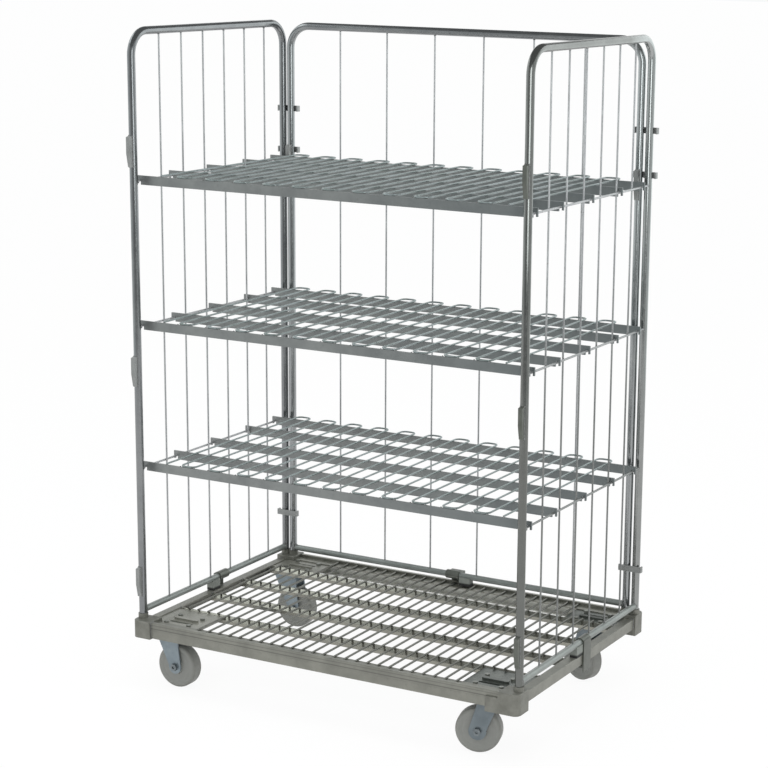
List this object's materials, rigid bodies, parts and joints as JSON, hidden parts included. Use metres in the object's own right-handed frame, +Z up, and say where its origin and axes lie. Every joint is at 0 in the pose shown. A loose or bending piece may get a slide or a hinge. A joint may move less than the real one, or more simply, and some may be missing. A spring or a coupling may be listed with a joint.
{
  "type": "roll container",
  "caption": "Open-fronted roll container with bent tube and wire panels, hooked wire shelves, hinged panel latches and a folded steel base on fixed and swivel castors.",
  "frame": {"origin": "centre of the footprint on the floor, level with the bottoms of the wheels", "axes": "+X to the right seen from the open front, +Y towards the back panel, +Z up"},
  "size_m": [1.232, 0.8, 1.85],
  "materials": {
    "panel_zinc": "bright bluish zinc plating on steel tube, wire and bar",
    "base_zinc": "dull slightly yellow zinc plating on folded sheet and wire",
    "castor_zinc": "bright zinc plating on pressed sheet",
    "fastener": "dull plated steel",
    "nylon": "moulded white polyamide, lightly scuffed tread",
    "rubber": "black moulded rubber"
  },
  "bodies": {
    "base": {"axle_back_left": "fastener", "axle_front_left": "fastener", "back_frame": "panel_zinc", "back_lugs": "panel_zinc", "back_rail": "panel_zinc", "back_wires": "panel_zinc", "base_rail_back": "base_zinc", "base_rail_front": "base_zinc", "base_rail_left": "base_zinc", "base_rail_right": "base_zinc", "buffer_back": "rubber", "buffer_left": "rubber", "buffer_right": "rubber", "castor_bolts": "fastener", "castor_carriers": "base_zinc", "corner_clips": "panel_zinc", "corner_socket_back_left": "base_zinc", "corner_socket_back_right": "base_zinc", "corner_socket_front_left": "base_zinc", "corner_socket_front_right": "base_zinc", "fixed_fork_back": "castor_zinc", "fixed_fork_front": "castor_zinc", "floor_strips": "base_zinc", "floor_wires": "base_zinc", "front_lugs_left": "panel_zinc", "front_lugs_right": "panel_zinc", "king_pin_back": "fastener", "king_pin_front": "fastener", "shelf_supports_left": "panel_zinc", "shelf_supports_right": "panel_zinc", "side_frame_left": "panel_zinc", "side_frame_right": "panel_zinc", "side_rail_left": "panel_zinc", "side_rail_right": "panel_zinc", "side_wires_left": "panel_zinc", "side_wires_right": "panel_zinc", "swivel_plate_back": "castor_zinc", "swivel_plate_front": "castor_zinc"},
    "swivel_back": {"axle_back_right": "fastener", "swivel_fork_back": "castor_zinc"},
    "swivel_front": {"axle_front_right": "fastener", "swivel_fork_front": "castor_zinc"},
    "latch_back": {"latch_back": "base_zinc"},
    "latch_left": {"latch_left": "base_zinc"},
    "latch_right": {"latch_right": "base_zinc"},
    "shelf_high": {"shelf_bars_high": "panel_zinc", "shelf_deck_high": "panel_zinc"},
    "shelf_low": {"shelf_bars_low": "panel_zinc", "shelf_deck_low": "panel_zinc"},
    "shelf_middle": {"shelf_bars_middle": "panel_zinc", "shelf_deck_middle": "panel_zinc"},
    "wheel_back_left": {"wheel_back_left": "nylon"},
    "wheel_back_right": {"wheel_back_right": "nylon"},
    "wheel_front_left": {"wheel_front_left": "nylon"},
    "wheel_front_right": {"wheel_front_right": "nylon"}
  },
  "joints": [
    {"name": "wheel_front_left_spin", "type": "hinge", "parent": "base", "child": "wheel_front_left", "pos_m": [-0.515, -0.307, 0.0625], "axis": [0, 1, 0], "continuous": true},
    {"name": "wheel_back_left_spin", "type": "hinge", "parent": "base", "child": "wheel_back_left", "pos_m": [-0.515, 0.307, 0.0625], "axis": [0, 1, 0], "continuous": true},
    {"name": "swivel_front_turn", "type": "hinge", "parent": "base", "child": "swivel_front", "pos_m": [0.492, -0.307, 0.17], "axis": [0, 0, 1], "continuous": true},
    {"name": "wheel_front_right_spin", "type": "hinge", "parent": "swivel_front", "child": "wheel_front_right", "pos_m": [0.45547, -0.31747, 0.0625], "axis": [-0.2756, 0.9613, 0], "continuous": true},
    {"name": "swivel_back_turn", "type": "hinge", "parent": "base", "child": "swivel_back", "pos_m": [0.492, 0.307, 0.17], "axis": [0, 0, 1], "continuous": true},
    {"name": "wheel_back_right_spin", "type": "hinge", "parent": "swivel_back", "child": "wheel_back_right", "pos_m": [0.45629, 0.32, 0.0625], "axis": [0.342, 0.9397, 0], "continuous": true},
    {"name": "shelf_low_lift", "type": "slide", "parent": "base", "child": "shelf_low", "axis": [0, 0, 1], "range_m": [0, 0.04]},
    {"name": "shelf_middle_lift", "type": "slide", "parent": "base", "child": "shelf_middle", "axis": [0, 0, 1], "range_m": [0, 0.04]},
    {"name": "shelf_high_lift", "type": "slide", "parent": "base", "child": "shelf_high", "axis": [0, 0, 1], "range_m": [0, 0.04]},
    {"name": "latch_left_swing", "type": "hinge", "parent": "base", "child": "latch_left", "pos_m": [-0.595, 0.018, 0.23], "axis": [0, 1, 0], "range_deg": [0, 90]},
    {"name": "latch_right_swing", "type": "hinge", "parent": "base", "child": "latch_right", "pos_m": [0.595, 0.018, 0.23], "axis": [0, -1, 0], "range_deg": [0, 90]},
    {"name": "latch_back_swing", "type": "hinge", "parent": "base", "child": "latch_back", "pos_m": [0.002, 0.367, 0.23], "axis": [1, 0, 0], "range_deg": [0, 90]}
  ]
}
